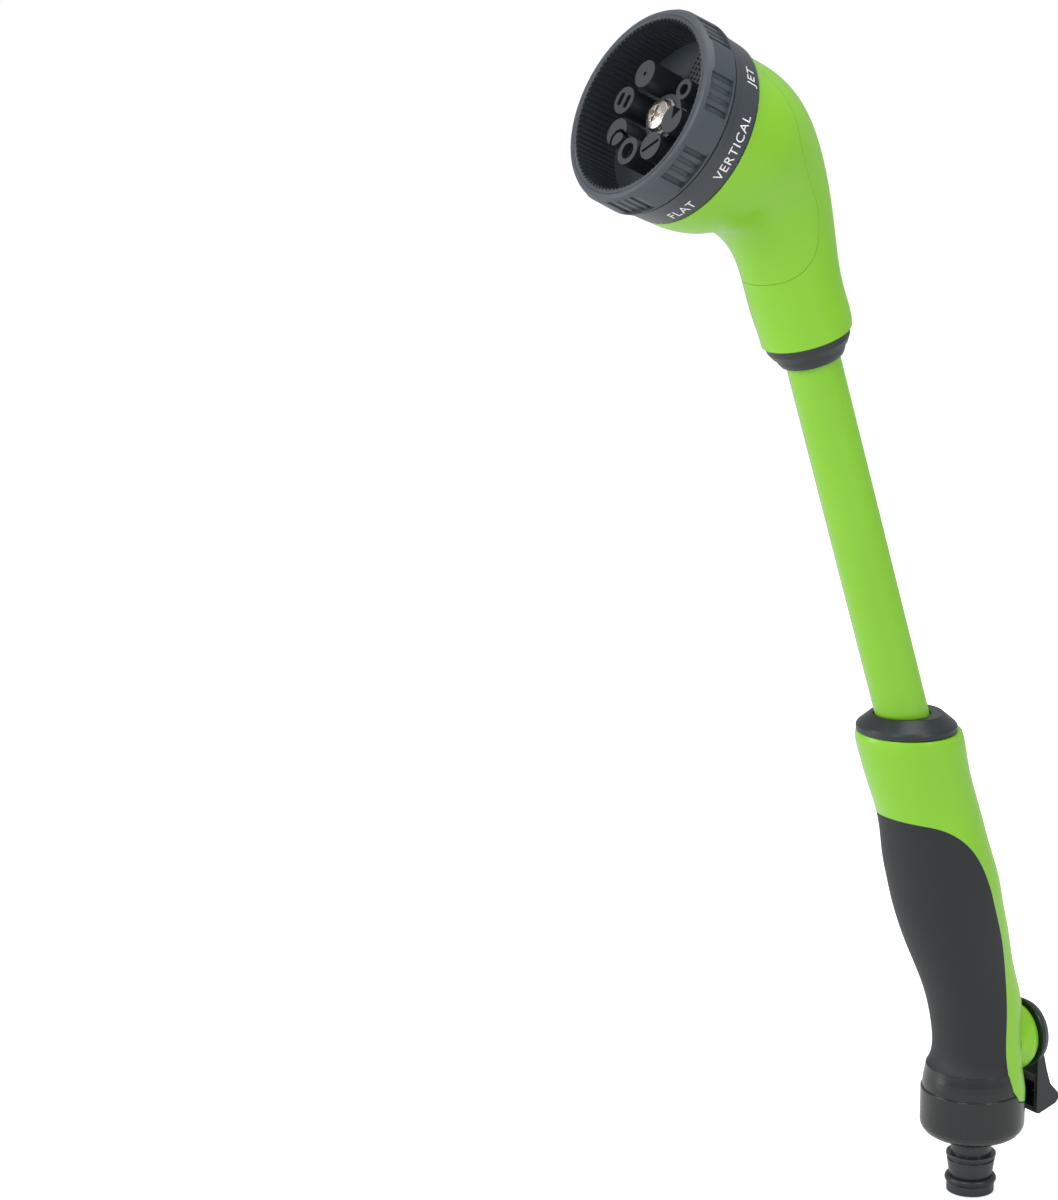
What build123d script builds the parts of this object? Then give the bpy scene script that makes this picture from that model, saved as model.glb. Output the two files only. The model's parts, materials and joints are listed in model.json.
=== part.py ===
from build123d import *
from math import cos, radians, sin
import os

os.makedirs("parts", exist_ok=True)

# Overall layout. The wand lies in the XZ plane with the hose connector's tip at the origin.
tube_lean = 18.2
tube_foot_x = -27.4
tube_foot_z = 150.0
tube_outer_r = 8.7
tube_wall = 1.0
tube_low = -15.0
tube_high = 186.0
head_rise = 25.9
rim_x = -142.5
rim_z = 376.4
slip = 0.05
free_gap = 0.35

# Hose connector and base.
bore_r = 4.0
tip_r = 8.1
ridge_r = 8.5
ridge_top = 13.7
neck_r = 6.9
spigot_r = 6.2
spigot_top = 34.0
ring_mid = 4.4
ring_wire_r = 1.3
base_r = 17.8
base_bottom = 17.3
step_z = 37.5
shoulder_top = 45.5
post_r = 10.2
post_top = 68.0
tongue_r = 15.2

# Flow valve, turning about an axis along X.
valve_z = 52.4
plug_r = 6.5
plug_back = -7.0
plug_front = 16.9
plug_port_r = 3.6
stem_r = 4.0
stem_end = 23.0
chamber_r = 9.5
boss_r = 12.2
boss_end = 20.2
lever_r = 11.9
lever_face = 20.6
lever_outer = 24.0
tail_half = 8.6

# Handle: height, centre and radius of each level of the S-shaped grip.
handle_levels = [
    (45.5, 0.2, 16.3),
    (52.0, 1.2, 15.2),
    (60.6, 0.5, 15.4),
    (74.0, -2.5, 16.2),
    (83.2, -6.1, 16.8),
    (92.2, -9.3, 17.8),
    (101.2, -12.3, 18.4),
    (110.0, -14.8, 18.7),
    (118.8, -17.3, 18.6),
    (127.5, -19.8, 17.9),
    (136.3, -22.2, 17.3),
    (145.1, -25.4, 17.3),
    (153.9, -28.6, 17.5),
    (163.0, -31.2, 17.9),
    (167.4, -32.0, 17.3),
]
grip_skin = 2.5
handle_wall = 4.4
cavity_top = 131.0
ring_z = 167.4
ring_x = -33.0
ring_r = 16.6
pipe_r = 6.9
pipe_bore_r = 5.0

# Spray head, measured along its axis from the front rim, backwards negative.
sleeve_low = 159.6
sleeve_r = 14.6
collar_thread_r = 12.1
shell_wall = 2.6
shell_front = -22.1
dial_rear = -21.7
dial_floor = -16.0
floor_thick = 2.0
cup_r = 27.4
bezel_r = 30.5
bezel_flat = 30.35
bezel_flat_width = 16.5
bezel_rear = -11.5
skirt_r = 29.7
plate_front = -18.3
axle_r = 4.5
axle_front = -10.8
outlet_ring_r = 13.6
outlet_r = 4.4
outlet_top = -4.4
outlet_bore_r = 2.2
dial_clock = -8.0
seam_gap = 0.09
groove_groups = 8
grooves_each = 4

# Frames that follow the leaning tube, the tilted head and the valve.
lean = radians(tube_lean)
rise = radians(head_rise)
tube_dir = Vector(-sin(lean), 0, cos(lean))
head_dir = Vector(-cos(rise), 0, sin(rise))
head_down = Vector(-sin(rise), 0, -cos(rise))
tube_foot = Vector(tube_foot_x, 0, tube_foot_z)
rim_centre = Vector(rim_x, 0, rim_z)
clock = radians(dial_clock)
face_down = head_down * cos(clock) + Vector(0, -1, 0) * sin(clock)
face_side = Vector(0, -1, 0) * cos(clock) - head_down * sin(clock)
upright = Plane.XZ
tube_side = Plane(tube_foot, x_dir=(cos(lean), 0, sin(lean)), z_dir=(0, -1, 0))
head_side = Plane(rim_centre, x_dir=-head_down, z_dir=(0, -1, 0))
valve_side = Plane((0, 0, valve_z), x_dir=(0, 0, -1), z_dir=(0, -1, 0))
tube_axis = Axis(tube_foot, tube_dir)
head_axis = Axis(rim_centre, head_dir)
valve_axis = Axis((0, 0, valve_z), (1, 0, 0))


def across_tube(distance):
    return Plane(tube_foot + tube_dir * distance, x_dir=(0, 1, 0), z_dir=tube_dir)


def across_head(distance):
    return Plane(rim_centre + head_dir * distance, x_dir=face_down, z_dir=head_dir)


# Hose connector: quick-release plug screwed up into the base.
with BuildPart() as hose_connector:
    with BuildSketch(upright):
        with BuildLine():
            Polyline(
                (bore_r, 0),
                (tip_r, 0),
                (tip_r, ring_mid - ring_wire_r),
                (tip_r - 1.9, ring_mid - ring_wire_r),
                (tip_r - 1.9, ring_mid + ring_wire_r),
                (ridge_r - 1.2, ring_mid + ring_wire_r),
                (ridge_r - 0.3, ridge_top - 2.3),
                (ridge_r - 0.8, ridge_top - 2.0),
                (ridge_r - 0.8, ridge_top - 1.6),
                (ridge_r, ridge_top - 1.1),
                (ridge_r, ridge_top - 0.2),
                (ridge_r - 0.2, ridge_top),
                (neck_r, ridge_top),
                (neck_r, base_bottom),
                (spigot_r, base_bottom),
                (spigot_r, spigot_top),
                (bore_r, spigot_top),
                close=True,
            )
        make_face()
    revolve(axis=Axis.Z)
hose_connector.part.label = "hose_connector"
export_step(hose_connector.part, "parts/hose_connector.step")

with BuildPart() as connector_ring:
    with BuildSketch(upright):
        with Locations((tip_r - 1.9 + ring_wire_r, ring_mid)):
            Circle(ring_wire_r)
    revolve(axis=Axis.Z)
connector_ring.part.label = "connector_ring"
export_step(connector_ring.part, "parts/connector_ring.step")

with BuildPart() as inlet_screen:
    with BuildSketch(Plane.XY.offset(spigot_top)):
        Circle(spigot_r)
        with PolarLocations(2.2, 6):
            Circle(0.8, mode=Mode.SUBTRACT)
        Circle(0.8, mode=Mode.SUBTRACT)
    extrude(amount=1.0)
inlet_screen.part.label = "inlet_screen"
export_step(inlet_screen.part, "parts/inlet_screen.step")

# Base housing: valve chamber, round base and the hidden post inside the handle.
with BuildPart() as base_housing:
    with BuildSketch(upright):
        with BuildLine():
            Polyline(
                (bore_r, spigot_top + 1.0 + slip),
                (spigot_r + slip, spigot_top + 1.0 + slip),
                (spigot_r + slip, base_bottom),
                (neck_r + 0.35, base_bottom),
                (neck_r + 0.6, base_bottom + 0.6),
                (neck_r + 1.2, base_bottom + 1.1),
                (neck_r + 2.4, base_bottom + 1.7),
                (base_r - 5.6, base_bottom + 2.6),
                (base_r - 3.4, base_bottom + 3.4),
                (base_r - 1.8, base_bottom + 4.4),
                (base_r - 0.8, base_bottom + 5.6),
                (base_r - 0.2, base_bottom + 6.8),
                (base_r, base_bottom + 8.2),
                (base_r, step_z - 0.3),
                (base_r - 0.25, step_z),
                (base_r - 0.55, step_z + 0.05),
                (base_r - 0.65, step_z + 2.4),
                (base_r - 0.95, step_z + 4.4),
                (base_r - 1.3, step_z + 6.2),
                (base_r - 1.6, shoulder_top),
                (post_r, shoulder_top),
                (post_r, post_top),
                (pipe_r + slip, post_top),
                (pipe_r + slip, valve_z + chamber_r),
                (bore_r, valve_z + chamber_r),
                close=True,
            )
        make_face()
    revolve(axis=Axis.Z)
    with BuildSketch(upright):
        with BuildLine():
            Polyline(
                (1.5, shoulder_top + 2),
                (1.5, shoulder_top),
                (3.2, step_z + 1.8),
                (6.4, step_z - 2.5),
                (14.8, step_z - 5.5),
                (30.0, step_z - 7.0),
                (30.0, shoulder_top + 2),
                close=True,
            )
        make_face()
    extrude(amount=base_r + 2, both=True, mode=Mode.SUBTRACT)
    with BuildSketch(upright):
        with BuildLine():
            Polyline(
                (spigot_r + slip, step_z - 8),
                (tongue_r, step_z - 8),
                (tongue_r, shoulder_top),
                (bore_r, shoulder_top),
                (bore_r, spigot_top + 1.0 + slip),
                (spigot_r + slip, spigot_top + 1.0 + slip),
                close=True,
            )
        make_face()
    revolve(axis=Axis.Z)
    with BuildSketch(valve_side):
        with BuildLine():
            Polyline((0, 0), (chamber_r, 0), (chamber_r, plug_front), (0, plug_front), close=True)
        make_face()
    revolve(axis=valve_axis)
    with BuildSketch(valve_side):
        with BuildLine():
            Polyline(
                (chamber_r, post_r + 0.2),
                (boss_r + slip, post_r + 0.2),
                (boss_r + slip, 30),
                (chamber_r, 30),
                close=True,
            )
        make_face()
    revolve(axis=valve_axis, mode=Mode.SUBTRACT)
    with BuildSketch(valve_side):
        with BuildLine():
            Polyline(
                (0, plug_back - slip),
                (plug_r + slip, plug_back - slip),
                (plug_r + slip, plug_front + slip),
                (0, plug_front + slip),
                close=True,
            )
        make_face()
    revolve(axis=valve_axis, mode=Mode.SUBTRACT)
    with BuildSketch(Plane.XY.offset(spigot_top)):
        Circle(plug_port_r)
    extrude(amount=valve_z + chamber_r - spigot_top, mode=Mode.SUBTRACT)
base_housing.part.label = "base_housing"
export_step(base_housing.part, "parts/base_housing.step")

# Valve plug with its cross bore, and two ring seals in grooves.
with BuildPart() as valve_plug:
    with BuildSketch(valve_side):
        with BuildLine():
            Polyline(
                (0, plug_back),
                (plug_r, plug_back),
                (plug_r, plug_back + 1.2),
                (plug_r - 1.6, plug_back + 1.2),
                (plug_r - 1.6, plug_back + 2.8),
                (plug_r, plug_back + 2.8),
                (plug_r, plug_front - 4.8),
                (plug_r - 1.6, plug_front - 4.8),
                (plug_r - 1.6, plug_front - 3.2),
                (plug_r, plug_front - 3.2),
                (plug_r, plug_front - 0.1),
                (stem_r, plug_front - 0.1),
                (stem_r, stem_end),
                (1.3, stem_end),
                (1.3, stem_end - 7),
                (0, stem_end - 7),
                close=True,
            )
        make_face()
    revolve(axis=valve_axis)
    with BuildSketch(Plane.XY.offset(valve_z - plug_r - 1)):
        Circle(plug_port_r)
    extrude(amount=2 * plug_r + 2, mode=Mode.SUBTRACT)
valve_plug.part.label = "valve_plug"
export_step(valve_plug.part, "parts/valve_plug.step")

with BuildPart() as valve_rings:
    with BuildSketch(valve_side):
        with Locations((plug_r - 0.8, plug_back + 2.0), (plug_r - 0.8, plug_front - 4.0)):
            Circle(0.78)
    revolve(axis=valve_axis)
valve_rings.part.label = "valve_rings"
export_step(valve_rings.part, "parts/valve_rings.step")

# Lever: round knob with a hollow thumb tail hanging below it.
with BuildPart() as valve_lever:
    with BuildSketch(valve_side):
        with BuildLine():
            Polyline(
                (0, stem_end + slip),
                (stem_r + slip, stem_end + slip),
                (stem_r + slip, lever_face),
                (lever_r - 0.3, lever_face),
                (lever_r, lever_face + 0.3),
                (lever_r, lever_face + 1.2),
                (lever_r - 1.2, lever_outer),
                (lever_r - 4.0, lever_outer + 0.8),
                (0, lever_outer + 0.8),
                close=True,
            )
        make_face()
    revolve(axis=valve_axis)
    with BuildSketch(upright):
        with BuildLine():
            Polyline(
                (lever_face + 0.8, valve_z - 6),
                (lever_outer, valve_z - 6),
                (lever_outer + 1.6, valve_z - 12.2),
                (lever_outer + 3.4, valve_z - 17.5),
                (lever_outer + 7.2, valve_z - 21.6),
                (lever_outer + 7.4, valve_z - 23.4),
                (lever_outer + 6.0, valve_z - 25.0),
                (lever_face + 2.0, valve_z - 27.4),
                (lever_face + 0.8, valve_z - 27.0),
                close=True,
            )
        make_face()
    extrude(amount=tail_half, both=True)
    with BuildSketch(upright):
        with BuildLine():
            Polyline(
                (lever_face - 1, valve_z - 13.5),
                (lever_outer - 0.4, valve_z - 13.5),
                (lever_outer + 1.4, valve_z - 18.5),
                (lever_outer + 4.6, valve_z - 22.4),
                (lever_outer + 4.6, valve_z - 23.6),
                (lever_face - 1, valve_z - 25.6),
                close=True,
            )
        make_face()
    extrude(amount=tail_half - 1.5, both=True, mode=Mode.SUBTRACT)
    with BuildSketch(valve_side):
        with BuildLine():
            Polyline((0, stem_end), (1.5, stem_end), (1.5, lever_outer + 2), (0, lever_outer + 2), close=True)
        make_face()
    revolve(axis=valve_axis, mode=Mode.SUBTRACT)
valve_lever.part.label = "valve_lever"
export_step(valve_lever.part, "parts/valve_lever.step")

with BuildPart() as lever_screw:
    with BuildSketch(valve_side):
        with BuildLine():
            Polyline(
                (0, stem_end - 6.5),
                (1.25, stem_end - 6.5),
                (1.25, lever_outer + 0.8),
                (3.0, lever_outer + 0.8),
                (2.8, lever_outer + 1.8),
                (1.6, lever_outer + 2.4),
                (0, lever_outer + 2.5),
                close=True,
            )
        make_face()
    revolve(axis=valve_axis)
lever_screw.part.label = "lever_screw"
export_step(lever_screw.part, "parts/lever_screw.step")

# Handle blanks used for the shell, the soft grip and its recess.
with BuildPart() as handle_blank:
    for level, centre, radius in handle_levels:
        with BuildSketch(Plane.XY.offset(level)):
            with Locations((centre, 0)):
                Circle(radius)
    loft()

with BuildPart() as handle_core:
    for level, centre, radius in handle_levels:
        with BuildSketch(Plane.XY.offset(level)):
            with Locations((centre, 0)):
                Circle(radius - grip_skin)
    loft()

with BuildPart() as handle_cavity:
    for level, centre, radius in handle_levels[:10]:
        with BuildSketch(Plane.XY.offset(level)):
            with Locations((centre, 0)):
                Circle(radius - handle_wall)
    loft()

with BuildPart() as grip_recess:
    with BuildSketch(upright):
        with BuildLine():
            Spline(
                (-46.0, 140.4),
                (-39.0, 138.4),
                (-31.6, 136.9),
                (-24.6, 133.4),
                (-17.8, 127.2),
                (-13.0, 119.6),
                (-7.8, 106.6),
                (-2.2, 87.7),
                (0.1, 69.5),
                (1.2, 51.9),
                (1.5, shoulder_top - 1),
            )
            Polyline((1.5, shoulder_top - 1), (-60, shoulder_top - 1), (-60, 140.4), (-46.0, 140.4))
        make_face()
    extrude(amount=30, both=True)
    add(handle_core.part, mode=Mode.SUBTRACT)

with BuildPart() as soft_grip:
    add(handle_blank.part)
    add(grip_recess.part, mode=Mode.INTERSECT)
soft_grip.part.label = "soft_grip"
export_step(soft_grip.part, "parts/soft_grip.step")

# Handle shell: green moulding with the spine, the valve boss and a tongue over the base.
with BuildPart() as handle_shell:
    add(handle_blank.part)
    with BuildSketch(valve_side):
        with BuildLine():
            Polyline(
                (0, post_r + 0.25),
                (boss_r, post_r + 0.25),
                (boss_r, boss_end - 4.5),
                (boss_r - 0.5, boss_end - 2.6),
                (boss_r - 1.5, boss_end - 0.9),
                (boss_r - 3.4, boss_end),
                (0, boss_end),
                close=True,
            )
        make_face()
    revolve(axis=valve_axis)
    add(grip_recess.part, mode=Mode.SUBTRACT)
    add(handle_cavity.part, mode=Mode.SUBTRACT)
    with BuildSketch(Plane.XY.offset(shoulder_top - 1)):
        Circle(post_r + 0.1)
    extrude(amount=post_top - shoulder_top + 1.2, mode=Mode.SUBTRACT)
    with BuildSketch(valve_side):
        with BuildLine():
            Polyline(
                (0, 0),
                (chamber_r + slip, 0),
                (chamber_r + slip, plug_front + slip),
                (stem_r + free_gap, plug_front + slip),
                (stem_r + free_gap, boss_end + 1),
                (0, boss_end + 1),
                close=True,
            )
        make_face()
    revolve(axis=valve_axis, mode=Mode.SUBTRACT)
    with BuildSketch(across_tube(tube_low - 14)):
        Circle(tube_outer_r + slip)
    extrude(amount=89, mode=Mode.SUBTRACT)
handle_shell.part.label = "handle_shell"

with BuildPart() as spine_tongue:
    with BuildSketch(upright):
        with BuildLine():
            Polyline(
                (tongue_r + slip, step_z - 7.5),
                (base_r - 0.1, step_z - 7.5),
                (base_r - 0.1, step_z - 0.5),
                (base_r - 0.6, step_z + 3.0),
                (base_r - 1.5, shoulder_top),
                (base_r - 1.7, shoulder_top + 1.5),
                (tongue_r - 1.5, shoulder_top + 1.5),
                (tongue_r - 1.5, shoulder_top + slip),
                (tongue_r + slip, shoulder_top + slip),
                close=True,
            )
        make_face()
    revolve(axis=Axis.Z)
    with BuildSketch(upright):
        with BuildLine():
            Polyline(
                (1.8, shoulder_top + 1.5),
                (1.8, shoulder_top),
                (3.5, step_z + 1.9),
                (6.7, step_z - 2.3),
                (15.0, step_z - 5.2),
                (30.0, step_z - 6.7),
                (30.0, shoulder_top + 1.5),
                close=True,
            )
        make_face()
    extrude(amount=base_r + 2, both=True, mode=Mode.INTERSECT)
    with BuildSketch(valve_side):
        with BuildLine():
            Polyline((0, 0), (chamber_r + slip, 0), (chamber_r + slip, 30), (0, 30), close=True)
        make_face()
    revolve(axis=valve_axis, mode=Mode.SUBTRACT)

with BuildPart() as handle_body:
    add(handle_shell.part)
    add(spine_tongue.part)
handle_body.part.label = "handle_shell"
export_step(handle_body.part, "parts/handle_shell.step")

# Inner water pipe from the valve housing to the tube, with its ring seal.
pipe_start = Vector(0, 0, valve_z + chamber_r + slip)
pipe_rise = Vector(0, 0, post_top + 4)
pipe_entry = tube_foot + tube_dir * (tube_low - 4)
pipe_end = tube_foot + tube_dir * (tube_low + 14)
with BuildPart() as handle_pipe:
    with BuildLine() as pipe_path:
        Line(pipe_start, pipe_rise)
        Spline(pipe_rise, pipe_entry, tangents=[(0, 0, 1), tube_dir])
        Line(pipe_entry, pipe_end)
    with BuildSketch(Plane(pipe_start, z_dir=(0, 0, 1))):
        Circle(pipe_r)
        Circle(pipe_bore_r, mode=Mode.SUBTRACT)
    sweep(path=pipe_path.line)
    with BuildSketch(tube_side):
        with BuildLine():
            Polyline(
                (pipe_r - 0.8, tube_low + 7),
                (pipe_r + 2, tube_low + 7),
                (pipe_r + 2, tube_low + 9),
                (pipe_r - 0.8, tube_low + 9),
                close=True,
            )
        make_face()
    revolve(axis=tube_axis, mode=Mode.SUBTRACT)
handle_pipe.part.label = "handle_pipe"
export_step(handle_pipe.part, "parts/handle_pipe.step")

with BuildPart() as pipe_ring:
    with BuildSketch(tube_side):
        with Locations((pipe_r - 0.78 + 0.76, tube_low + 8)):
            Circle(0.76)
    revolve(axis=tube_axis)
pipe_ring.part.label = "pipe_ring"
export_step(pipe_ring.part, "parts/pipe_ring.step")

with BuildPart() as tube:
    with BuildSketch(across_tube(tube_low)):
        Circle(tube_outer_r)
        Circle(tube_outer_r - tube_wall, mode=Mode.SUBTRACT)
    extrude(amount=tube_high - tube_low)
tube.part.label = "tube"
export_step(tube.part, "parts/tube.step")

# Dark ring capping the handle around the tube.
with BuildPart() as handle_ring:
    with BuildSketch(upright):
        with BuildLine():
            Polyline(
                (ring_x, ring_z),
                (ring_x + ring_r - 0.3, ring_z),
                (ring_x + ring_r, ring_z + 0.4),
                (ring_x + ring_r, ring_z + 2.0),
                (ring_x + ring_r - 0.5, ring_z + 2.7),
                (ring_x + ring_r - 4.6, ring_z + 6.1),
                (ring_x, ring_z + 6.1),
                close=True,
            )
        make_face()
    revolve(axis=Axis((ring_x, 0, 0), (0, 0, 1)))
    with BuildSketch(across_tube(0)):
        Circle(tube_outer_r + 0.5)
    extrude(amount=60, mode=Mode.SUBTRACT)
handle_ring.part.label = "handle_ring"
export_step(handle_ring.part, "parts/handle_ring.step")

# Collar nut that clamps the tube into the head's sleeve, and its square seal.
with BuildPart() as collar_nut:
    with BuildSketch(tube_side):
        with BuildLine():
            Polyline(
                (tube_outer_r + slip, sleeve_low - 8.0),
                (10.2, sleeve_low - 8.0),
                (10.9, sleeve_low - 6.8),
                (11.6, sleeve_low - 4.9),
                (12.3, sleeve_low - 4.6),
                (13.4, sleeve_low - 2.6),
                (13.9, sleeve_low - slip),
                (collar_thread_r - slip, sleeve_low - slip),
                (collar_thread_r - slip, sleeve_low + 11),
                (tube_outer_r + slip, sleeve_low + 11),
                close=True,
            )
        make_face()
    revolve(axis=tube_axis)
collar_nut.part.label = "collar_nut"
export_step(collar_nut.part, "parts/collar_nut.step")

with BuildPart() as collar_seal:
    with BuildSketch(across_tube(sleeve_low + 11 + slip)):
        Circle(collar_thread_r - slip)
        Circle(tube_outer_r + slip, mode=Mode.SUBTRACT)
    extrude(amount=2.4)
collar_seal.part.label = "collar_seal"
export_step(collar_seal.part, "parts/collar_seal.step")

# Head shells: one bent blank, hollowed and parted along the moulded seam.
elbow_sections = [
    (tube_foot + tube_dir * sleeve_low, tube_lean, sleeve_r),
    (tube_foot + tube_dir * (sleeve_low + 8), tube_lean, sleeve_r + 0.4),
    (tube_foot + tube_dir * (sleeve_low + 22), tube_lean, sleeve_r + 0.7),
    (Vector(-88.4, 0, 336.2), 25.5, 17.1),
    (Vector(-96.2, 0, 349.7), 40.5, 21.6),
    (Vector(-103.6, 0, 357.3), 54.8, 25.7),
    (rim_centre + head_dir * -33.0, 90 - head_rise, 28.2),
    (rim_centre + head_dir * shell_front, 90 - head_rise, skirt_r - 0.1),
]
with BuildPart() as head_blank:
    for spot, lean_deg, radius in elbow_sections:
        with BuildSketch(Plane(spot, x_dir=(0, 1, 0), z_dir=(-sin(radians(lean_deg)), 0, cos(radians(lean_deg))))):
            Circle(radius)
    loft()

with BuildPart() as head_cavity:
    for spot, lean_deg, radius in elbow_sections[2:]:
        with BuildSketch(Plane(spot, x_dir=(0, 1, 0), z_dir=(-sin(radians(lean_deg)), 0, cos(radians(lean_deg))))):
            Circle(radius - shell_wall)
    loft()
    with BuildSketch(across_tube(sleeve_low - 1)):
        Circle(collar_thread_r)
    extrude(amount=24)

seam_points = [
    (-113.5, 392.0),
    (-108.7, 385.3),
    (-103.7, 379.0),
    (-101.0, 370.9),
    (-98.9, 362.0),
    (-95.5, 355.2),
    (-91.5, 349.7),
    (-88.0, 343.8),
    (-86.2, 337.2),
    (-86.3, 330.4),
    (-88.7, 325.4),
    (-93.2, 321.2),
    (-100.0, 318.6),
    (-110.0, 317.6),
]
with BuildPart() as front_region:
    with BuildSketch(upright):
        with BuildLine():
            Polyline((-200, 300), (-200, 420), (-116, 420), seam_points[0])
            Spline(seam_points)
            Polyline(seam_points[-1], (-160, 300), (-200, 300))
        make_face()
    extrude(amount=50, both=True)

with BuildPart() as head_front_shell:
    add(head_blank.part)
    add(front_region.part.moved(Location((-seam_gap, 0, seam_gap * 0.8))), mode=Mode.INTERSECT)
    add(head_cavity.part, mode=Mode.SUBTRACT)
head_front_shell.part.label = "head_front_shell"
export_step(head_front_shell.part, "parts/head_front_shell.step")

with BuildPart() as head_back_shell:
    add(head_blank.part)
    add(front_region.part, mode=Mode.SUBTRACT)
    add(head_cavity.part, mode=Mode.SUBTRACT)
head_back_shell.part.label = "head_back_shell"
export_step(head_back_shell.part, "parts/head_back_shell.step")

# Water pipe through the head, from the tube to the outlet port.
elbow_start = tube_foot + tube_dir * (tube_high - 12)
elbow_leave = tube_foot + tube_dir * (tube_high + 2)
port_rear = rim_centre + head_dir * (plate_front - 3.2) + face_down * outlet_ring_r
port_before = port_rear - head_dir * 5
with BuildPart() as head_pipe:
    with BuildLine() as elbow_path:
        Line(elbow_start, elbow_leave)
        Spline(elbow_leave, port_before, tangents=[tube_dir, head_dir])
        Line(port_before, port_rear)
    with BuildSketch(Plane(elbow_start, z_dir=tube_dir)):
        Circle(pipe_r)
        Circle(pipe_bore_r, mode=Mode.SUBTRACT)
    sweep(path=elbow_path.line)
    with BuildSketch(tube_side):
        with BuildLine():
            Polyline(
                (pipe_r - 0.8, tube_high - 8),
                (pipe_r + 2, tube_high - 8),
                (pipe_r + 2, tube_high - 6),
                (pipe_r - 0.8, tube_high - 6),
                close=True,
            )
        make_face()
    revolve(axis=tube_axis, mode=Mode.SUBTRACT)
head_pipe.part.label = "head_pipe"
export_step(head_pipe.part, "parts/head_pipe.step")

with BuildPart() as head_pipe_ring:
    with BuildSketch(tube_side):
        with Locations((pipe_r - 0.78 + 0.76, tube_high - 7)):
            Circle(0.76)
    revolve(axis=tube_axis)
head_pipe_ring.part.label = "head_pipe_ring"
export_step(head_pipe_ring.part, "parts/head_pipe_ring.step")

# Bearing plate: closes the head, carries the dial's axle, the port and the detent.
with BuildPart() as bearing_plate:
    with BuildSketch(head_side):
        with BuildLine():
            Polyline(
                (1.5, plate_front - 3),
                (cup_r - 4.0, plate_front - 3),
                (cup_r - 4.0, plate_front - 5.0),
                (cup_r - 1.5, plate_front - 5.0),
                (cup_r - 1.5, plate_front),
                (axle_r, plate_front),
                (axle_r, axle_front),
                (1.5, axle_front),
                close=True,
            )
        make_face()
    revolve(axis=head_axis)
    with BuildSketch(across_head(plate_front - 4)):
        with Locations((outlet_ring_r, 0)):
            Circle(5.05)
        with Locations((-20, 0)):
            Circle(1.65)
    extrude(amount=5, mode=Mode.SUBTRACT)
    with BuildSketch(across_head(plate_front - 7)):
        with Locations((-20, 0)):
            Circle(2.8)
    extrude(amount=4)
    with BuildSketch(across_head(plate_front - 6)):
        with Locations((-20, 0)):
            Circle(1.65)
    extrude(amount=7, mode=Mode.SUBTRACT)
bearing_plate.part.label = "bearing_plate"
export_step(bearing_plate.part, "parts/bearing_plate.step")

with BuildPart() as port_seal:
    with BuildSketch(across_head(plate_front - 3.15)):
        with Locations((outlet_ring_r, 0)):
            Circle(5.0)
            Circle(3.2, mode=Mode.SUBTRACT)
    extrude(amount=3.15 + 0.2)
port_seal.part.label = "port_seal"
export_step(port_seal.part, "parts/port_seal.step")

with BuildPart() as detent_ball:
    with Locations(Location(rim_centre + head_dir * (plate_front - 1.35) - face_down * 20)):
        Sphere(1.6)
detent_ball.part.label = "detent_ball"
export_step(detent_ball.part, "parts/detent_ball.step")

spring_foot = rim_centre + head_dir * (plate_front - 5.7) - face_down * 20
with BuildPart() as detent_spring:
    with BuildLine() as spring_path:
        Helix(pitch=0.75, height=2.6, radius=1.2, center=spring_foot, direction=head_dir)
    with BuildSketch(Plane(spring_path.line @ 0, z_dir=spring_path.line % 0)):
        Circle(0.2)
    sweep(path=spring_path.line, is_frenet=True)
detent_spring.part.label = "detent_spring"
export_step(detent_spring.part, "parts/detent_spring.step")

# Dial: cup with floor and hub, skirt behind, and eight ports for the outlets.
with BuildPart() as dial_body:
    with BuildSketch(head_side):
        with BuildLine():
            Polyline(
                (axle_r + slip, axle_front - slip),
                (axle_r + 3.2, axle_front - slip),
                (axle_r + 3.2, dial_floor),
                (cup_r - 0.5, dial_floor),
                (cup_r, -0.3),
                (cup_r + 0.3, 0),
                (cup_r + 1.0, 0),
                (cup_r + 1.2, -0.2),
                (cup_r + 1.2, bezel_rear),
                (bezel_r + 0.3, bezel_rear),
                (bezel_r + 0.1, bezel_rear - 1.6),
                (bezel_r - 0.4, bezel_rear - 2.0),
                (skirt_r, dial_rear + 0.3),
                (skirt_r - 0.3, dial_rear),
                (cup_r + 0.2, dial_rear),
                (cup_r + 0.2, dial_floor - floor_thick - 1.5),
                (cup_r - 1.2, dial_floor - floor_thick),
                (axle_r + slip, dial_floor - floor_thick),
                close=True,
            )
        make_face()
    revolve(axis=head_axis)
    with BuildSketch(across_head(dial_floor - floor_thick - 0.1)):
        with PolarLocations(outlet_ring_r, 8):
            Circle(3.05)
    extrude(amount=floor_thick + 0.2, mode=Mode.SUBTRACT)
dial_body.part.label = "dial_body"
export_step(dial_body.part, "parts/dial_body.step")

# Grip ring around the cup: groups of finger grooves between smooth lands.
with BuildPart() as dial_grip_ring:
    with BuildSketch(head_side):
        with BuildLine():
            Polyline(
                (cup_r + 1.2 + slip, bezel_rear + slip),
                (bezel_r, bezel_rear + slip),
                (bezel_r + 0.9, bezel_rear + 1.0),
                (bezel_r + 0.7, -2.2),
                (bezel_r - 0.4, -0.6),
                (bezel_r - 1.0, -0.2),
                (cup_r + 1.2 + slip, -0.2),
                close=True,
            )
        make_face()
    revolve(axis=head_axis)
    groove_step = 6.4
    with BuildSketch(across_head(bezel_rear + 1.6)):
        for group in range(groove_groups):
            group_angle = 360 / groove_groups * (group + 0.5)
            with PolarLocations(bezel_flat + 1.5, 1, start_angle=group_angle):
                Rectangle(3.0, bezel_flat_width)
            for groove in range(grooves_each):
                angle = group_angle + groove_step * (groove - (grooves_each - 1) / 2)
                with PolarLocations(bezel_flat + 0.35, 1, start_angle=angle):
                    Circle(0.95)
    extrude(amount=8.2, mode=Mode.SUBTRACT)
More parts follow.
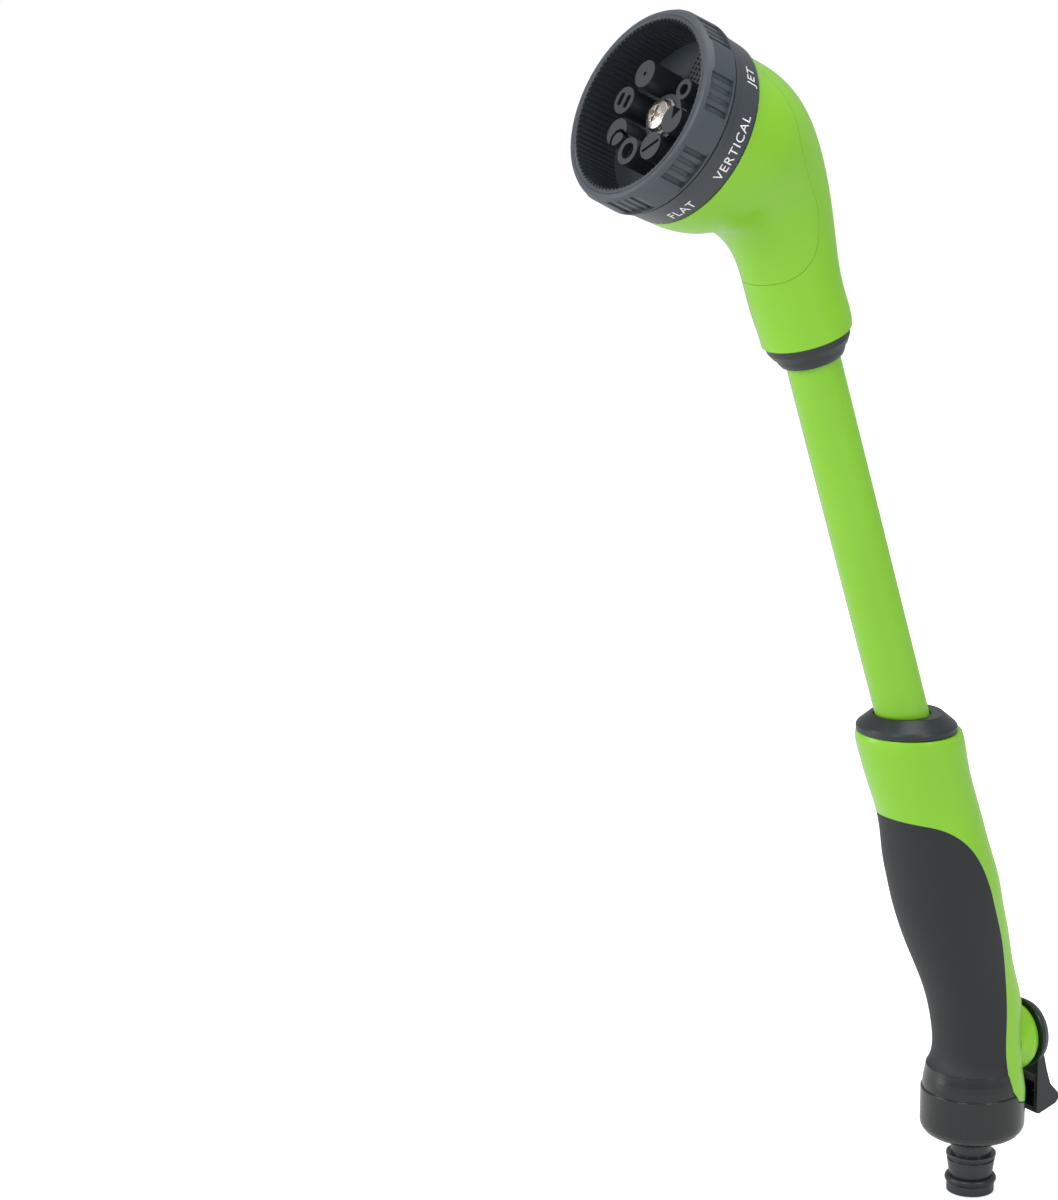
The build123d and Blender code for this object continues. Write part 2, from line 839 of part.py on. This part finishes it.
dial_grip_ring.part.label = "dial_grip_ring"
export_step(dial_grip_ring.part, "parts/dial_grip_ring.step")

# Outlets: each is a turned post plugged into the cup's floor, with its own mouth.
with BuildPart() as outlet_blank:
    with BuildSketch(across_head(dial_floor)):
        Circle(outlet_r)
    extrude(amount=outlet_top - dial_floor)
    with BuildSketch(across_head(dial_floor - floor_thick)):
        Circle(3.0)
    extrude(amount=floor_thick)
    with BuildSketch(across_head(dial_floor - floor_thick)):
        Circle(outlet_bore_r)
    extrude(amount=outlet_top - 2.0 - dial_floor + floor_thick, mode=Mode.SUBTRACT)

mouth = across_head(outlet_top - 2.5)
with BuildPart() as jet_outlet:
    add(outlet_blank.part)
    with BuildSketch(mouth):
        Circle(2.6)
    extrude(amount=5, mode=Mode.SUBTRACT)
jet_outlet.part.position = face_down * outlet_ring_r
jet_outlet.part.label = "jet_outlet"
export_step(jet_outlet.part, "parts/jet_outlet.step")


def seat(angle):
    turn = radians(angle)
    return (face_down * cos(turn) + face_side * sin(turn)) * outlet_ring_r


with BuildPart() as flat_outlet:
    add(outlet_blank.part)
    with BuildSketch(mouth):
        Rectangle(7.4, 1.0, rotation=-45)
    extrude(amount=5, mode=Mode.SUBTRACT)
flat_outlet.part.position = seat(45)
flat_outlet.part.label = "flat_outlet"
export_step(flat_outlet.part, "parts/flat_outlet.step")

with BuildPart() as fan_outlet:
    add(outlet_blank.part)
    with BuildSketch(mouth):
        with BuildLine():
            Polyline((0, 0), (-6, 3.2), (-6, -3.2), close=True)
        make_face()
    extrude(amount=5, mode=Mode.SUBTRACT)
fan_outlet.part.position = seat(90)
fan_outlet.part.label = "fan_outlet"
export_step(fan_outlet.part, "parts/fan_outlet.step")

with BuildPart() as soaker_outlet:
    with BuildSketch(across_head(dial_floor)):
        Circle(outlet_r - 1.1)
    extrude(amount=outlet_top - 2 - dial_floor)
    with BuildSketch(across_head(dial_floor - floor_thick)):
        Circle(3.0)
    extrude(amount=floor_thick)
    with BuildSketch(across_head(dial_floor - floor_thick)):
        Circle(1.8)
    extrude(amount=20, mode=Mode.SUBTRACT)
soaker_outlet.part.position = seat(135)
soaker_outlet.part.label = "soaker_outlet"
export_step(soaker_outlet.part, "parts/soaker_outlet.step")

with BuildPart() as mist_outlet:
    add(outlet_blank.part)
    with BuildSketch(mouth):
        Circle(0.7)
    extrude(amount=5, mode=Mode.SUBTRACT)
mist_outlet.part.position = seat(-135)
mist_outlet.part.label = "mist_outlet"
export_step(mist_outlet.part, "parts/mist_outlet.step")

with BuildPart() as cone_outlet:
    add(outlet_blank.part)
    with BuildSketch(mouth):
        with Locations((0, 1.7), (0, -1.7)):
            SlotOverall(4.4, 1.8)
    extrude(amount=5, mode=Mode.SUBTRACT)
cone_outlet.part.position = seat(-90)
cone_outlet.part.label = "cone_outlet"
export_step(cone_outlet.part, "parts/cone_outlet.step")

with BuildPart() as curved_outlet:
    add(outlet_blank.part)
    with BuildSketch(mouth):
        with Locations((2.2, 2.2)):
            Circle(3.6)
            Circle(2.5, mode=Mode.SUBTRACT)
    extrude(amount=5, mode=Mode.SUBTRACT)
curved_outlet.part.position = seat(-45)
curved_outlet.part.label = "curved_outlet"
export_step(curved_outlet.part, "parts/curved_outlet.step")

with BuildPart() as shower_plate:
    with BuildSketch(across_head(dial_floor)):
        with Locations((-16.8, 0)):
            RectangleRounded(16.4, 8.4, 1.0)
            with GridLocations(1.55, 1.7, 10, 4):
                Circle(0.4, mode=Mode.SUBTRACT)
    extrude(amount=1.6)
    with BuildSketch(across_head(dial_floor - floor_thick)):
        with Locations((-outlet_ring_r, 0)):
            Circle(3.0)
            Circle(2.2, mode=Mode.SUBTRACT)
    extrude(amount=floor_thick)
shower_plate.part.label = "shower_plate"
export_step(shower_plate.part, "parts/shower_plate.step")

# Washer and cross-head screw that keep the dial on its axle.
with BuildPart() as dial_washer:
    with BuildSketch(across_head(axle_front)):
        Circle(5.8)
        Circle(1.7, mode=Mode.SUBTRACT)
    extrude(amount=0.8)
dial_washer.part.label = "dial_washer"
export_step(dial_washer.part, "parts/dial_washer.step")

with BuildPart() as dial_screw:
    with BuildSketch(head_side):
        with BuildLine():
            Polyline(
                (0, axle_front - 9),
                (1.45, axle_front - 9),
                (1.45, axle_front + 0.8),
                (5.3, axle_front + 0.8),
                (5.4, axle_front + 1.5),
                (4.6, axle_front + 2.8),
                (2.8, axle_front + 3.5),
                (0, axle_front + 3.7),
                close=True,
            )
        make_face()
    revolve(axis=head_axis)
    with BuildSketch(across_head(axle_front + 1.9)):
        Rectangle(5.4, 1.1)
        Rectangle(1.1, 5.4)
    extrude(amount=3, mode=Mode.SUBTRACT)
dial_screw.part.label = "dial_screw"
export_step(dial_screw.part, "parts/dial_screw.step")
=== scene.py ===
import json
from math import cos, pi, radians, sin

import bmesh
import bpy
from mathutils import Matrix, Vector


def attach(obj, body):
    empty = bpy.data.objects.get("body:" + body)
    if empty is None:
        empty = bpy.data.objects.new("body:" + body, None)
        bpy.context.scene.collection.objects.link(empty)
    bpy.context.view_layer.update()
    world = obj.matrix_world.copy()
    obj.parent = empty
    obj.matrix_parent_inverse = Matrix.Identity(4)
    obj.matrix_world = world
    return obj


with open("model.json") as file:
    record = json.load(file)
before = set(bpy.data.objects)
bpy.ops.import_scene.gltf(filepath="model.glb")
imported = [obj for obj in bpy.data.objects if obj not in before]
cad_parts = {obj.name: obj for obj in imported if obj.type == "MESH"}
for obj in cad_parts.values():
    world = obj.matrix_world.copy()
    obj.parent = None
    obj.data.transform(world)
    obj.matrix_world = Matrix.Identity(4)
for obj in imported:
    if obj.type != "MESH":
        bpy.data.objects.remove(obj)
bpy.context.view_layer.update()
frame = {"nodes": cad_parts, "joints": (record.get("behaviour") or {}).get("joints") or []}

# Hose plug: an acetal quick-release plug with one black ring seal in its groove,
# screwed up into the base and holding a steel mesh filter inside. Seals and steel
# parts further up the wand take the same finishes.
DRIFT_SCALE = 38.0
GLOSS_DROP, GLOSS_RISE = 0.06, 0.08
EDGE_ROUND = 0.0003
GRAIN_HEIGHT = 0.0001
COAT_ROUGHNESS = 0.12
NODES = frame["nodes"]


def srgb(code):
    """A linear colour from an sRGB hex code."""
    parts = [int(code[i : i + 2], 16) / 255 for i in (1, 3, 5)]
    return [c / 12.92 if c <= 0.04045 else ((c + 0.055) / 1.055) ** 2.4 for c in parts] + [1.0]


def node(tree, kind, **values):
    """Adds a shader node; names with a leading underscore are its own settings, the rest are sockets."""
    made = tree.nodes.new(kind)
    for name, value in values.items():
        if name.startswith("_"):
            setattr(made, name[1:], value)
            continue
        socket = made.inputs[name.replace("_", " ")]
        if isinstance(value, bpy.types.NodeSocket):
            tree.links.new(value, socket)
        else:
            socket.default_value = value
    return made


def moulded(name, light, dark, roughness, grain, depth, coat=0.0, metallic=0.0, stretch=(1, 1, 1)):
    """A moulded or painted surface: slow colour drift, fine grain in the finish, rounded edges."""
    material = bpy.data.materials.new(name)
    material.use_nodes = True
    tree = material.node_tree
    tree.nodes.clear()
    place = node(tree, "ShaderNodeTexCoord").outputs["Object"]
    place = node(tree, "ShaderNodeMapping", Vector=place, Scale=stretch).outputs["Vector"]
    slow = node(tree, "ShaderNodeTexNoise", Vector=place, Scale=DRIFT_SCALE, Detail=3.0, Roughness=0.5)
    fine = node(tree, "ShaderNodeTexNoise", Vector=place, Scale=grain, Detail=4.0, Roughness=0.6)
    tint = node(tree, "ShaderNodeMix", _data_type="RGBA", Factor=slow.outputs["Fac"])
    tint.inputs[6].default_value = srgb(light)
    tint.inputs[7].default_value = srgb(dark)
    gloss = node(tree, "ShaderNodeMapRange", Value=fine.outputs["Fac"])
    gloss.inputs["To Min"].default_value = roughness - GLOSS_DROP
    gloss.inputs["To Max"].default_value = roughness + GLOSS_RISE
    edge = node(tree, "ShaderNodeBevel", _samples=4, Radius=EDGE_ROUND)
    bump = node(
        tree,
        "ShaderNodeBump",
        Strength=depth,
        Distance=GRAIN_HEIGHT,
        Height=fine.outputs["Fac"],
        Normal=edge.outputs["Normal"],
    )
    surface = node(
        tree,
        "ShaderNodeBsdfPrincipled",
        Base_Color=tint.outputs[2],
        Roughness=gloss.outputs["Result"],
        Metallic=metallic,
        Normal=bump.outputs["Normal"],
        Coat_Weight=coat,
        Coat_Roughness=COAT_ROUGHNESS,
    )
    node(tree, "ShaderNodeOutputMaterial", Surface=surface.outputs["BSDF"])
    return material


def finish_node(names, material):
    """Gives carried-over CAD nodes their material."""
    for name in names:
        slots = NODES[name].data.materials
        slots.clear()
        slots.append(material)


# Dark acetal: a soft sheen with hardly any grain.
PLUG_ACETAL = moulded("charcoal_plug_acetal", "#232a2f", "#1f2529", 0.32, 1000.0, 0.06, coat=0.15)
# Black rubber: dull, with a visible fine grain.
SEAL_EPDM = moulded("black_epdm_seal", "#1c1e20", "#151719", 0.4, 1600.0, 0.2)
# Brushed stainless steel: bright, with fine level streaks.
STEEL = moulded(
    "brushed_stainless_steel", "#c4c4c2", "#b3b3b1", 0.34, 2400.0, 0.2, metallic=1.0, stretch=(1, 1, 6)
)
finish_node(["hose_connector"], PLUG_ACETAL)
SEALS = ["connector_ring", "valve_rings", "pipe_ring", "head_pipe_ring", "collar_seal", "port_seal"]
finish_node(SEALS, SEAL_EPDM)
finish_node(["inlet_screen", "detent_spring", "detent_ball", "dial_washer", "lever_screw"], STEEL)

# Base and flow valve: glossy charcoal housing round an acetal plug, turned a
# quarter turn by the lever knob, which a screw holds on its stem.
# Charcoal plastic under a thin clear sheen.
BASE_ABS = moulded("charcoal_gloss_abs", "#0f1517", "#0c1113", 0.26, 500.0, 0.02, coat=0.15)
# Natural acetal: off-white and waxy.
VALVE_POM = moulded("natural_acetal_valve", "#d9d7cf", "#cfcdc4", 0.4, 900.0, 0.1)
# Charcoal plastic with a satin finish.
NUT_ABS = moulded("charcoal_nut_abs", "#1c2628", "#182123", 0.36, 1100.0, 0.08)
finish_node(["base_housing"], BASE_ABS)
finish_node(["valve_plug"], VALVE_POM)
finish_node(["valve_lever"], NUT_ABS)

# Handle: green shell with its spine and valve boss, the soft grip moulded over
# its front, and the dark ring pressed on top round the tube.
# Light green plastic: even colour and a soft gloss.
GREEN_ABS = moulded("green_abs_plastic", "#82c31f", "#79b81b", 0.34, 900.0, 0.06, coat=0.1)
# Soft charcoal rubber: matt, so it shows no sharp highlight.
GRIP_TPR = moulded("charcoal_soft_tpr", "#131a1c", "#101618", 0.58, 1800.0, 0.15)
# Black pipe plastic: dull and plain.
PIPE_PP = moulded("black_polypropylene_pipe", "#26292c", "#1f2224", 0.45, 1300.0, 0.15)
finish_node(["handle_shell"], GREEN_ABS)
finish_node(["soft_grip"], GRIP_TPR)
finish_node(["handle_ring"], NUT_ABS)
finish_node(["handle_pipe", "head_pipe", "bearing_plate"], PIPE_PP)

# Tube and collar: powder-painted aluminium tube, clamped into the head's sleeve
# by a charcoal collar nut.
# Powder paint: nearly the same green, with a finer grain drawn out a little upwards.
GREEN_PAINT = moulded(
    "green_powder_paint", "#7fc022", "#78b71f", 0.32, 2200.0, 0.06, coat=0.1, stretch=(1, 1, 0.6)
)
finish_node(["tube"], GREEN_PAINT)
finish_node(["collar_nut"], NUT_ABS)

# Head: two green shells meeting along a moulded seam.
finish_node(["head_front_shell", "head_back_shell"], GREEN_ABS)

# Dial: one slate moulding of cup and skirt with a soft bezel, seven outlets and a
# perforated plate set into its floor, and a nickel-plated screw in the middle.
# Slate plastic with a faint grain.
DIAL_ABS = moulded("slate_dial_abs", "#343c43", "#2e353b", 0.36, 1200.0, 0.08)
# Slate rubber: lighter and duller than the skirt.
BEZEL_TPR = moulded("slate_bezel_rubber", "#3c454d", "#363f46", 0.42, 1700.0, 0.12)
# Slate plastic, nearly matt, its colour darkened as painted shade of the deep cup.
OUTLET_PAINTED_SHADE_ABS = moulded("slate_outlet_abs_painted_shade", "#262d33", "#20262a", 0.42, 1400.0, 0.08)
# Nickel plate: warm and bright, with faint marks.
NICKEL = moulded("nickel_plated_steel", "#d8d2c8", "#c9c2b8", 0.24, 2600.0, 0.04, metallic=1.0)
finish_node(["dial_body"], DIAL_ABS)
finish_node(["dial_grip_ring"], BEZEL_TPR)
PATTERNS = ["jet", "flat", "fan", "soaker", "mist", "cone", "curved"]
OUTLETS = [pattern + "_outlet" for pattern in PATTERNS]
# The outlets and the shower plate take the colour darkened as painted shade of the cup.
finish_node([*OUTLETS, "shower_plate"], OUTLET_PAINTED_SHADE_ABS)
finish_node(["dial_screw"], NICKEL)

# Fine moulded ribs that line the cup's inner wall from its floor to just below the rim,
# laid out round the dial's axis in millimetres.
RIB_COUNT = 96
RIB_LONG = 15.3
RIB_FOOT, RIB_TOP = 0.62, 0.5
RIB_OUT, RIB_START = 27.25, -0.4

# The dial's own directions and place, from its joint.
MM = 0.001
joints = {j["name"]: j for j in frame["joints"]}
HEAD_AXIS = Vector(joints["dial_turn"]["axis"]).normalized()
RIM_CENTRE = Vector(joints["dial_turn"]["pos_m"])
HEAD_UP = Vector((HEAD_AXIS.z, 0, -HEAD_AXIS.x)).normalized()
SIDE = Vector((0, -1, 0))
HEAD_TURN = Matrix((-HEAD_UP, SIDE, HEAD_AXIS)).transposed().to_4x4()
HEAD_FRAME = Matrix.Translation(RIM_CENTRE) @ HEAD_TURN @ Matrix.Scale(MM, 4)


def keep(name, build, body, material):
    """Makes a piece from a bmesh and lets it ride on its body."""
    mesh = bpy.data.meshes.new(name)
    build.to_mesh(mesh)
    build.free()
    piece = bpy.data.objects.new(name, mesh)
    bpy.context.collection.objects.link(piece)
    mesh.materials.append(material)
    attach(piece, body)


ribs = bmesh.new()
bmesh.ops.create_cone(
    ribs, cap_ends=True, segments=3, radius1=RIB_FOOT, radius2=RIB_TOP, depth=RIB_LONG
)
bmesh.ops.rotate(ribs, verts=ribs.verts, matrix=Matrix.Rotation(pi, 3, "Z"))
bmesh.ops.translate(ribs, verts=ribs.verts, vec=(0, RIB_OUT, RIB_START - RIB_LONG / 2))
bmesh.ops.spin(
    ribs,
    geom=ribs.faces[:],
    cent=(0, 0, 0),
    axis=(0, 0, 1),
    angle=2 * pi * (RIB_COUNT - 1) / RIB_COUNT,
    steps=RIB_COUNT - 1,
    use_duplicate=True,
)
bmesh.ops.transform(ribs, matrix=HEAD_FRAME, verts=ribs.verts)
keep("cup_wall_ribs", ribs, "dial", DIAL_ABS)

# Pattern names printed in white round the skirt, reading upwards past the bezel.
# Each letter is a thin flat form bent to the skirt's cone, in millimetres.
SKIRT_FRONT, SKIRT_REAR = (-13.6, 30.02), (-21.4, 29.72)
LETTER_SIZE = 4.4
INK_THICK = 0.06
INK_LIFT = 0.03
LONGEST_EDGE = 0.9
BASELINE = -19.8
LETTER_SPACING = 1.12

# White pad-printing ink: flat and even, against the slate.
LABEL_INK = moulded("white_pad_print_ink", "#f2f4f2", "#e8ebe9", 0.5, 2600.0, 0.1)


def head_point(angle, radius, along):
    """A point in metres round the dial's axis: angle from straight down, millimetres out and along."""
    spoke = -HEAD_UP * cos(angle) + SIDE * sin(angle)
    return RIM_CENTRE + spoke * (radius * MM) + HEAD_AXIS * (along * MM)


def skirt_radius(along):
    """The skirt's radius at a place along the dial's axis."""
    share = (along - SKIRT_FRONT[0]) / (SKIRT_REAR[0] - SKIRT_FRONT[0])
    return SKIRT_FRONT[1] + share * (SKIRT_REAR[1] - SKIRT_FRONT[1])


def skirt_label(word, middle_deg):
    """One word on the skirt: its letters run round the axis with their tops towards the rim."""
    curve = bpy.data.curves.new("skirt_word", "FONT")
    curve.body = word
    curve.size = LETTER_SIZE
    curve.align_x = "CENTER"
    curve.space_character = LETTER_SPACING
    holder = bpy.data.objects.new("skirt_word", curve)
    bpy.context.collection.objects.link(holder)
    bpy.context.view_layer.update()
    flat = bpy.data.meshes.new_from_object(holder.evaluated_get(bpy.context.evaluated_depsgraph_get()))
    letters = bmesh.new()
    letters.from_mesh(flat)
    bpy.data.objects.remove(holder)
    bmesh.ops.triangulate(letters, faces=letters.faces)
    long_edges = [edge for edge in letters.edges if edge.calc_length() > LONGEST_EDGE]
    bmesh.ops.subdivide_edges(letters, edges=long_edges, cuts=1)
    top = bmesh.ops.extrude_face_region(letters, geom=letters.faces[:])
    for vert in [g for g in top["geom"] if isinstance(g, bmesh.types.BMVert)]:
        vert.co.z = INK_THICK
    for vert in letters.verts:
        along = BASELINE + vert.co.y
        radius = skirt_radius(along) + INK_LIFT + vert.co.z
        vert.co = head_point(radians(middle_deg) + vert.co.x / SKIRT_FRONT[1], radius, along)
    bmesh.ops.recalc_face_normals(letters, faces=letters.faces)
    keep("label_" + word.lower(), letters, "dial", LABEL_INK)


skirt_label("FLAT", 32.0)
skirt_label("VERTICAL", 82.0)
skirt_label("JET", 128.0)

# Studio: the camera at the fitted place, a pale floor under the hose plug, and soft lights.
AZIMUTH, ELEVATION = radians(-33.45), radians(13.06)
FOCAL_PX, FRAME_PX, SENSOR_MM = 3588.75, 1058, 36.0
SHIFT_RIGHT, SHIFT_UP, DISTANCE = 0.1509, -0.2013, 1.22846
right = Vector((cos(AZIMUTH), sin(AZIMUTH), 0))
back = Vector((sin(AZIMUTH) * cos(ELEVATION), -cos(AZIMUTH) * cos(ELEVATION), sin(ELEVATION)))
up = back.cross(right)
camera_data = bpy.data.cameras.new("camera")
camera_data.sensor_fit = "HORIZONTAL"
camera_data.sensor_width = SENSOR_MM
camera_data.lens = FOCAL_PX / FRAME_PX * SENSOR_MM
camera_data.clip_start = 0.05
camera = bpy.data.objects.new("camera", camera_data)
bpy.context.collection.objects.link(camera)
turn = Matrix((right, up, back)).transposed().to_4x4()
camera.matrix_world = Matrix.Translation(back * DISTANCE - right * SHIFT_RIGHT - up * SHIFT_UP) @ turn
bpy.context.scene.camera = camera

FLOOR_LIFT = 0.62
FLOOR_GREY = 0.82
FLOOR_DROP = 0.0005
FLOOR_HALF = 3.0


def pale_when_seen(tree, shader):
    """Adds a glow for the camera alone. It clips the floor to white, and the wand's shadow with it."""
    seen = node(tree, "ShaderNodeLightPath").outputs["Is Camera Ray"]
    lift = node(tree, "ShaderNodeMath", _operation="MULTIPLY")
    tree.links.new(seen, lift.inputs[0])
    lift.inputs[1].default_value = FLOOR_LIFT
    glow = node(tree, "ShaderNodeEmission", Color=(1, 1, 1, 1), Strength=lift.outputs["Value"])
    total = node(tree, "ShaderNodeAddShader")
    tree.links.new(shader, total.inputs[0])
    tree.links.new(glow.outputs["Emission"], total.inputs[1])
    return total.outputs["Shader"]


floor_material = bpy.data.materials.new("pale_floor")
floor_material.use_nodes = True
floor_tree = floor_material.node_tree
floor_tree.nodes.clear()
matt = node(floor_tree, "ShaderNodeBsdfDiffuse", Color=(FLOOR_GREY, FLOOR_GREY, FLOOR_GREY, 1))
node(floor_tree, "ShaderNodeOutputMaterial", Surface=pale_when_seen(floor_tree, matt.outputs["BSDF"]))
sheet = bmesh.new()
bmesh.ops.create_grid(sheet, x_segments=1, y_segments=1, size=FLOOR_HALF)
floor_mesh = bpy.data.meshes.new("floor")
sheet.to_mesh(floor_mesh)
sheet.free()
floor_mesh.materials.append(floor_material)
floor = bpy.data.objects.new("floor", floor_mesh)
floor.location.z = -FLOOR_DROP
bpy.context.collection.objects.link(floor)

SKY_STRENGTH = 0.5
world = bpy.data.worlds.new("studio")
bpy.context.scene.world = world
world.use_nodes = True
world.node_tree.nodes.clear()
soft = node(world.node_tree, "ShaderNodeBackground", Color=(1, 1, 1, 1), Strength=SKY_STRENGTH)
seen = node(world.node_tree, "ShaderNodeLightPath").outputs["Is Camera Ray"]
clear = node(world.node_tree, "ShaderNodeBackground", Color=(1, 1, 1, 1), Strength=1.0)
blend_sky = node(world.node_tree, "ShaderNodeMixShader", Fac=seen)
world.node_tree.links.new(soft.outputs["Background"], blend_sky.inputs[1])
world.node_tree.links.new(clear.outputs["Background"], blend_sky.inputs[2])
node(world.node_tree, "ShaderNodeOutputWorld", Surface=blend_sky.outputs["Shader"])

# Every lamp points at the middle of the wand.
AIM = Vector((-0.06, 0, 0.2))


def softbox(name, where, width, height, power):
    """A rectangular area light facing the wand."""
    lamp = bpy.data.lights.new(name, "AREA")
    lamp.shape = "RECTANGLE"
    lamp.size, lamp.size_y = width, height
    lamp.energy = power
    holder = bpy.data.objects.new(name, lamp)
    holder.location = where
    holder.rotation_euler = (AIM - Vector(where)).to_track_quat("-Z", "Y").to_euler()
    bpy.context.collection.objects.link(holder)


softbox("strip_left", AIM - right * 0.75 + back * 1.35 + up * 0.6, 0.14, 1.0, 9.0)
softbox("strip_right", AIM + right * 0.85 + back * 1.1 + up * 0.5, 0.12, 1.0, 7.0)
softbox("rim_left", AIM - right * 1.3 + back * 0.1 + up * 0.3, 0.5, 1.2, 9.0)
softbox("top", AIM + Vector((0, 0, 1.3)), 1.0, 1.0, 8.0)
bpy.context.scene.view_settings.view_transform = "Standard"
